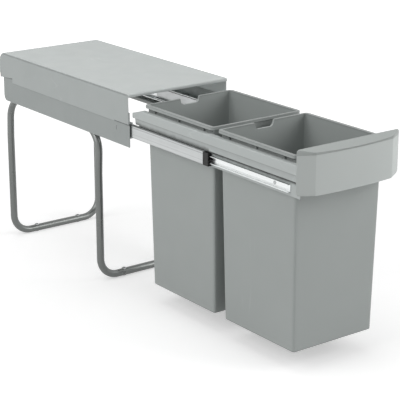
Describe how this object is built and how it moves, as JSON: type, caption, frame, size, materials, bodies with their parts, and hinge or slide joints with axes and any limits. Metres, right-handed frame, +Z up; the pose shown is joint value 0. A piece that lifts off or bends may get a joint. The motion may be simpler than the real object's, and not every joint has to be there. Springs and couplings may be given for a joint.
{
  "type": "pull-out waste sorting bin",
  "caption": "Pull-out waste sorting bin: a covered housing on bent tube legs, with telescopic runners that carry lift-out bins behind a bowed front panel.",
  "frame": {"origin": "on the floor, in the middle of the rectangle of floor screws under the tube legs", "axes": "+Z up, +Y towards the back of the cabinet, so the bins are pulled out along -Y; +X is to the right when looking along +Y"},
  "size_m": [0.25, 1.0615, 0.439],
  "materials": {
    "painted_lid": "satin light grey powder coat",
    "painted_housing": "satin grey powder coat",
    "tube_coat": "satin dark grey powder coat",
    "painted_carriage": "satin grey powder coat",
    "rail_steel": "bright zinc-plated, drawn along the rail",
    "cage_steel": "dull zinc-plated",
    "ball_steel": "polished",
    "zinc_steel": "zinc-plated",
    "black_plastic": "fine matt grain",
    "panel_plastic": "fine matt grain",
    "grip_plastic": "fine matt grain",
    "bin_plastic": "fine matt grain, slightly glossier inside"
  },
  "bodies": {
    "housing": {"lid_panel": "painted_lid", "skirt_left": "painted_housing", "skirt_right": "painted_housing", "side_plate_left": "painted_housing", "side_plate_right": "painted_housing", "rear_cross_bar": "painted_housing", "front_leg_frame": "tube_coat", "rear_leg_frame": "tube_coat", "tube_joiners": "zinc_steel", "floor_bushes": "zinc_steel", "leg_screws": "zinc_steel", "lid_screws": "zinc_steel", "skirt_rivets": "zinc_steel", "rail_rivets": "zinc_steel", "outer_rail_left": "rail_steel", "outer_rail_right": "rail_steel"},
    "carriage": {"inner_rail_left": "rail_steel", "inner_rail_right": "rail_steel", "carriage_side_left": "painted_carriage", "carriage_side_right": "painted_carriage", "carriage_front_bar": "painted_carriage", "carriage_middle_bar": "painted_carriage", "carriage_rear_bar": "painted_carriage", "carriage_rivets": "zinc_steel", "lever_pins": "zinc_steel", "front_panel": "panel_plastic", "grip_strip": "grip_plastic", "panel_screws": "zinc_steel"},
    "rear_bin": {"rear_bin": "bin_plastic"},
    "front_bin": {"front_bin": "bin_plastic"},
    "middle_rail_left": {"middle_rail_left": "rail_steel", "rail_bumper_left": "black_plastic"},
    "outer_cage_left": {"outer_ball_cage_left": "cage_steel", "outer_balls_left": "ball_steel"},
    "inner_cage_left": {"inner_ball_cage_left": "cage_steel", "inner_balls_left": "ball_steel"},
    "release_lever_left": {"release_lever_left": "black_plastic"},
    "middle_rail_right": {"middle_rail_right": "rail_steel", "rail_bumper_right": "black_plastic"},
    "outer_cage_right": {"outer_ball_cage_right": "cage_steel", "outer_balls_right": "ball_steel"},
    "inner_cage_right": {"inner_ball_cage_right": "cage_steel", "inner_balls_right": "ball_steel"},
    "release_lever_right": {"release_lever_right": "black_plastic"}
  },
  "joints": [
    {"name": "drawer_slide", "type": "slide", "parent": "housing", "child": "carriage", "axis": [0, -1, 0], "range_m": [-0.49, 0]},
    {"name": "rear_bin_lift", "type": "slide", "parent": "carriage", "child": "rear_bin", "axis": [0, 0, 1], "range_m": [0, 0.4]},
    {"name": "front_bin_lift", "type": "slide", "parent": "carriage", "child": "front_bin", "axis": [0, 0, 1], "range_m": [0, 0.4]},
    {"name": "middle_rail_slide_left", "type": "slide", "parent": "housing", "child": "middle_rail_left", "axis": [0, -1, 0], "range_m": [-0.245, 0]},
    {"name": "outer_cage_slide_left", "type": "slide", "parent": "housing", "child": "outer_cage_left", "axis": [0, -1, 0], "range_m": [-0.1225, 0]},
    {"name": "inner_cage_slide_left", "type": "slide", "parent": "middle_rail_left", "child": "inner_cage_left", "axis": [0, -1, 0], "range_m": [-0.1225, 0]},
    {"name": "release_lever_pivot_left", "type": "hinge", "parent": "carriage", "child": "release_lever_left", "pos_m": [-0.1135, -0.512, 0.361], "axis": [1, 0, 0], "range_deg": [0, 3], "stiffness_Nm_per_rad": 0.02, "springref_deg": -5.73},
    {"name": "middle_rail_slide_right", "type": "slide", "parent": "housing", "child": "middle_rail_right", "axis": [0, -1, 0], "range_m": [-0.245, 0]},
    {"name": "outer_cage_slide_right", "type": "slide", "parent": "housing", "child": "outer_cage_right", "axis": [0, -1, 0], "range_m": [-0.1225, 0]},
    {"name": "inner_cage_slide_right", "type": "slide", "parent": "middle_rail_right", "child": "inner_cage_right", "axis": [0, -1, 0], "range_m": [-0.1225, 0]},
    {"name": "release_lever_pivot_right", "type": "hinge", "parent": "carriage", "child": "release_lever_right", "pos_m": [0.1135, -0.512, 0.361], "axis": [1, 0, 0], "range_deg": [0, 3], "stiffness_Nm_per_rad": 0.02, "springref_deg": -5.73}
  ],
  "couplings": [
    {"joint": "middle_rail_slide_left", "follows": "drawer_slide", "ratio": 0.5},
    {"joint": "outer_cage_slide_left", "follows": "drawer_slide", "ratio": 0.25},
    {"joint": "inner_cage_slide_left", "follows": "drawer_slide", "ratio": 0.25},
    {"joint": "middle_rail_slide_right", "follows": "drawer_slide", "ratio": 0.5},
    {"joint": "outer_cage_slide_right", "follows": "drawer_slide", "ratio": 0.25},
    {"joint": "inner_cage_slide_right", "follows": "drawer_slide", "ratio": 0.25}
  ]
}
